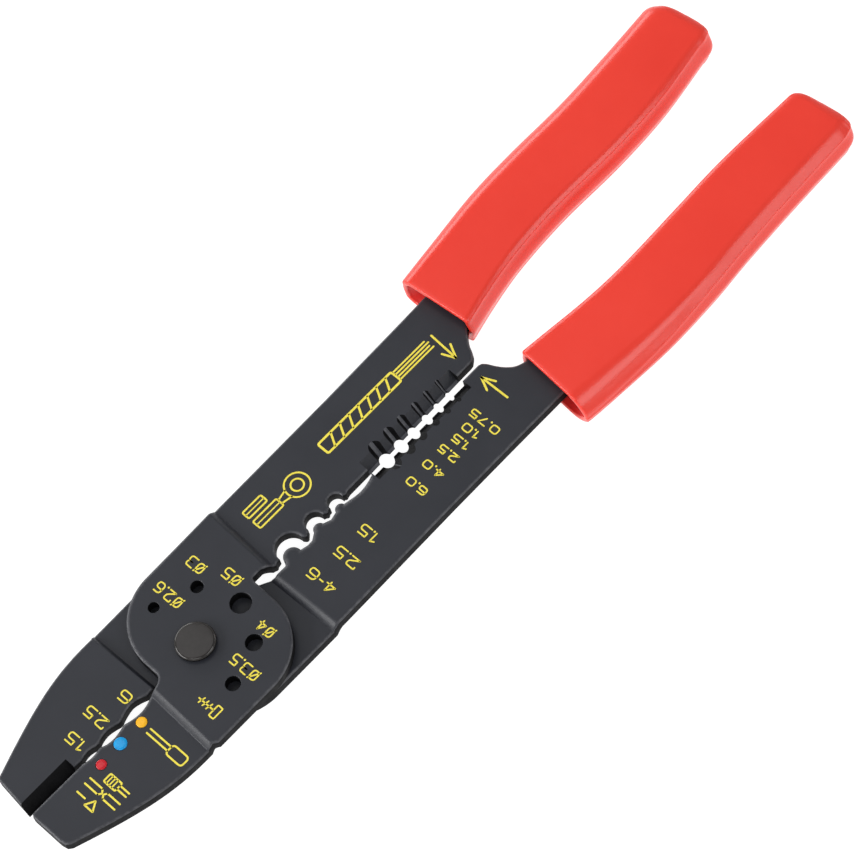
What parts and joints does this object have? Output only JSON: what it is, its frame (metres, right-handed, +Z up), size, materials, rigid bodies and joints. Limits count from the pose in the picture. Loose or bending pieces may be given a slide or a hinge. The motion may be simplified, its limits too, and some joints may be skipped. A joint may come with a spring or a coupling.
{
  "type": "wire stripper",
  "caption": "Flat crimping and wire-stripping pliers: two joggled steel plates on one rivet, notched edges, a nose cutter, screw-shearing holes and long hollow grips",
  "frame": {"origin": "on the pivot axis, at the flat back head of the rivet, on the bench the tool lies on", "axes": "+Y along the tool from the nose to the handles, +X to the right handle, +Z up out of the bench along the pivot axis"},
  "size_m": [0.0623, 0.2361, 0.01],
  "materials": {
    "blackened_steel": "satin blackened sheet steel",
    "rivet_steel": "semi-gloss browned steel",
    "red_grip": "glossy soft vinyl",
    "yellow_enamel": "gloss enamel in a dimple",
    "blue_enamel": "gloss enamel in a dimple",
    "red_enamel": "gloss enamel in a dimple"
  },
  "bodies": {
    "back_half": {"back_plate": "blackened_steel", "right_grip_sleeve": "red_grip", "pivot_rivet": "rivet_steel"},
    "front_half": {"front_plate": "blackened_steel", "left_grip_sleeve": "red_grip", "yellow_size_dot": "yellow_enamel", "blue_size_dot": "blue_enamel", "red_size_dot": "red_enamel"}
  },
  "joints": [
    {"name": "pivot", "type": "hinge", "parent": "back_half", "child": "front_half", "pos_m": [0, 0, 0.005], "axis": [0, 0, 1], "range_deg": [-1, 18]}
  ]
}
